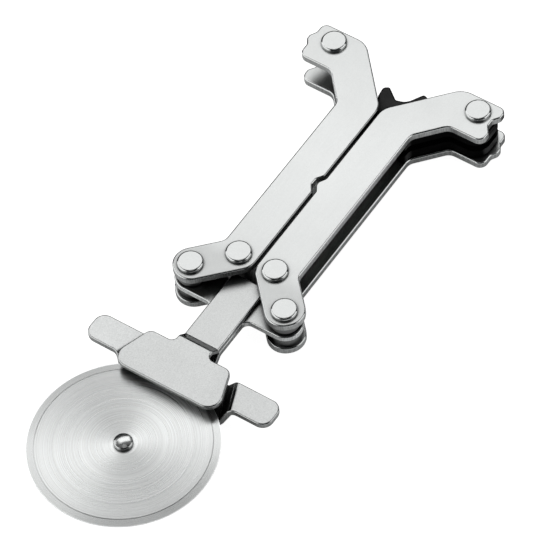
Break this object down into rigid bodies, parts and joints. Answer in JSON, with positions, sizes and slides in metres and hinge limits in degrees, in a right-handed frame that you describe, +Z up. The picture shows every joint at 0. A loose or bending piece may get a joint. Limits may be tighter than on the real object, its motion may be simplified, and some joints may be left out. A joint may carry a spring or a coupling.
{
  "type": "pizza cutter",
  "caption": "Folding pizza cutter: a free-turning steel wheel on a guarded carrier, with riveted plate handle halves that swing forward over the wheel and latch shut.",
  "frame": {"origin": "bottom centre of the bounding box, with the cutter lying on its lower rivet heads and the handle closed behind the wheel", "axes": "+X to the handle half that carries the latch, +Y from the wheel to the end of the grip, +Z up, along the wheel's axle and every rivet"},
  "size_m": [0.0784, 0.2116, 0.0195],
  "materials": {
    "handle_steel": "satin",
    "rivet_steel": "polished",
    "spacer_steel": "turned",
    "head_steel": "satin",
    "wheel_steel": "brushed round the axle",
    "latch_plastic": "satin moulded"
  },
  "bodies": {
    "head": {"carrier_plate": "head_steel", "guard_plate": "head_steel", "wheel_axle": "rivet_steel", "wheel_spacer": "spacer_steel"},
    "wheel": {"cutting_wheel": "wheel_steel"},
    "left_handle": {"left_upper_plate": "handle_steel", "left_lower_plate": "handle_steel", "left_pivot_rivet": "rivet_steel", "left_upper_collar": "spacer_steel", "left_lower_collar": "spacer_steel", "left_stop_rivet": "rivet_steel", "left_stop_sleeve": "spacer_steel", "left_tip_rivet": "rivet_steel", "left_tip_sleeve": "spacer_steel"},
    "right_handle": {"right_upper_plate": "handle_steel", "right_lower_plate": "handle_steel", "right_pivot_rivet": "rivet_steel", "right_upper_collar": "spacer_steel", "right_lower_collar": "spacer_steel", "right_stop_rivet": "rivet_steel", "right_stop_sleeve": "spacer_steel", "right_tip_rivet": "rivet_steel", "latch_bush": "spacer_steel"},
    "latch": {"latch": "latch_plastic"}
  },
  "joints": [
    {"name": "wheel_spin", "type": "hinge", "parent": "head", "child": "wheel", "pos_m": [0, -0.0733, 0.00985], "axis": [0, 0, 1], "continuous": true},
    {"name": "left_fold", "type": "hinge", "parent": "head", "child": "left_handle", "pos_m": [-0.0191, -0.005, 0.00975], "axis": [0, 0, 1], "range_deg": [0, 180]},
    {"name": "right_fold", "type": "hinge", "parent": "head", "child": "right_handle", "pos_m": [0.0191, -0.005, 0.00975], "axis": [0, 0, -1], "range_deg": [0, 180]},
    {"name": "latch_swing", "type": "hinge", "parent": "right_handle", "child": "latch", "pos_m": [0.0297, 0.0999, 0.00975], "axis": [0, 0, -1], "range_deg": [0, 180]}
  ]
}
